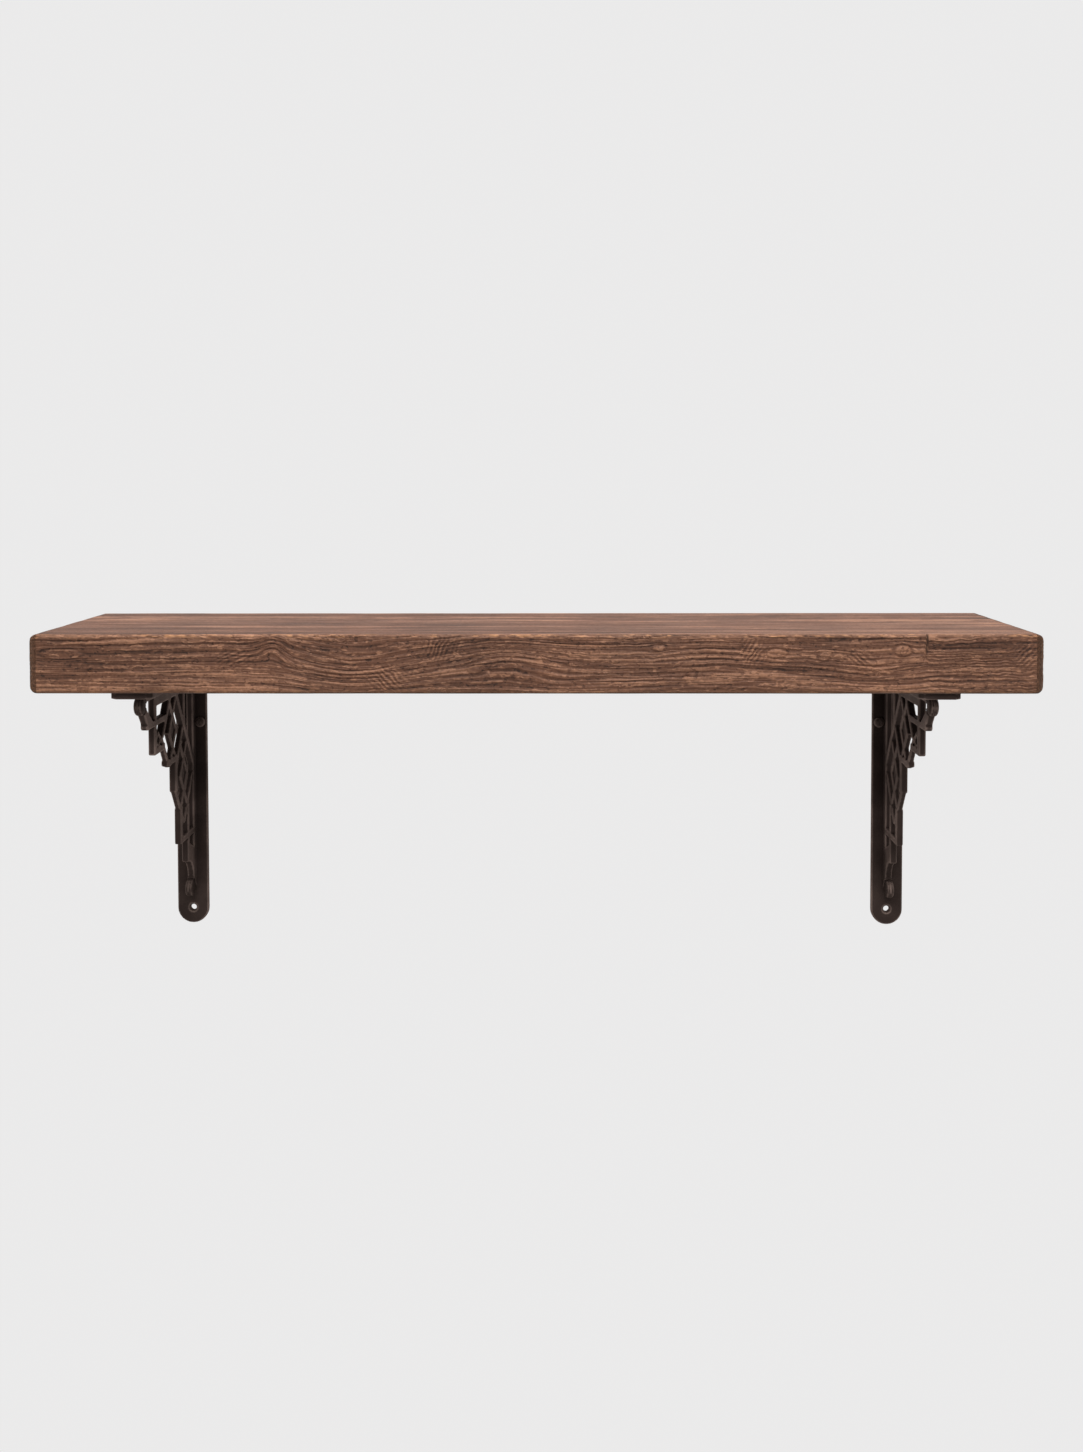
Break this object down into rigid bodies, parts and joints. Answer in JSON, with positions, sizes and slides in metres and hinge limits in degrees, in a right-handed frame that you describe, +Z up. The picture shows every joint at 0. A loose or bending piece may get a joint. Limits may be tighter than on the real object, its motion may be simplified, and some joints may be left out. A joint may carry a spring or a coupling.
{
  "type": "bracket wall shelf",
  "caption": "Thick weathered wooden plank screwed onto openwork cast-iron brackets, for fixing to a wall as a display shelf.",
  "frame": {"origin": "on the wall plane, midway between the lower screw holes of the two brackets", "axes": "+X along the wall to the right as seen from the room, +Y into the wall, +Z up"},
  "size_m": [0.9, 0.238, 0.323],
  "materials": {
    "board_wood": "brown stain on brushed softwood, matt",
    "bracket_iron": "satin brown-black paint on a sand casting",
    "wall_screw_black": "satin brown-black",
    "shelf_screw_steel": "plain zinc-plated"
  },
  "bodies": {
    "root": {"shelf_board": "board_wood", "bracket_left": "bracket_iron", "bracket_right": "bracket_iron", "wall_screw_left_inner": "wall_screw_black", "wall_screw_left_outer": "wall_screw_black", "shelf_screw_left_front": "shelf_screw_steel", "shelf_screw_left_inner": "shelf_screw_steel", "shelf_screw_left_outer": "shelf_screw_steel", "wall_screw_right_inner": "wall_screw_black", "wall_screw_right_outer": "wall_screw_black", "shelf_screw_right_front": "shelf_screw_steel", "shelf_screw_right_inner": "shelf_screw_steel", "shelf_screw_right_outer": "shelf_screw_steel"}
  },
  "joints": []
}
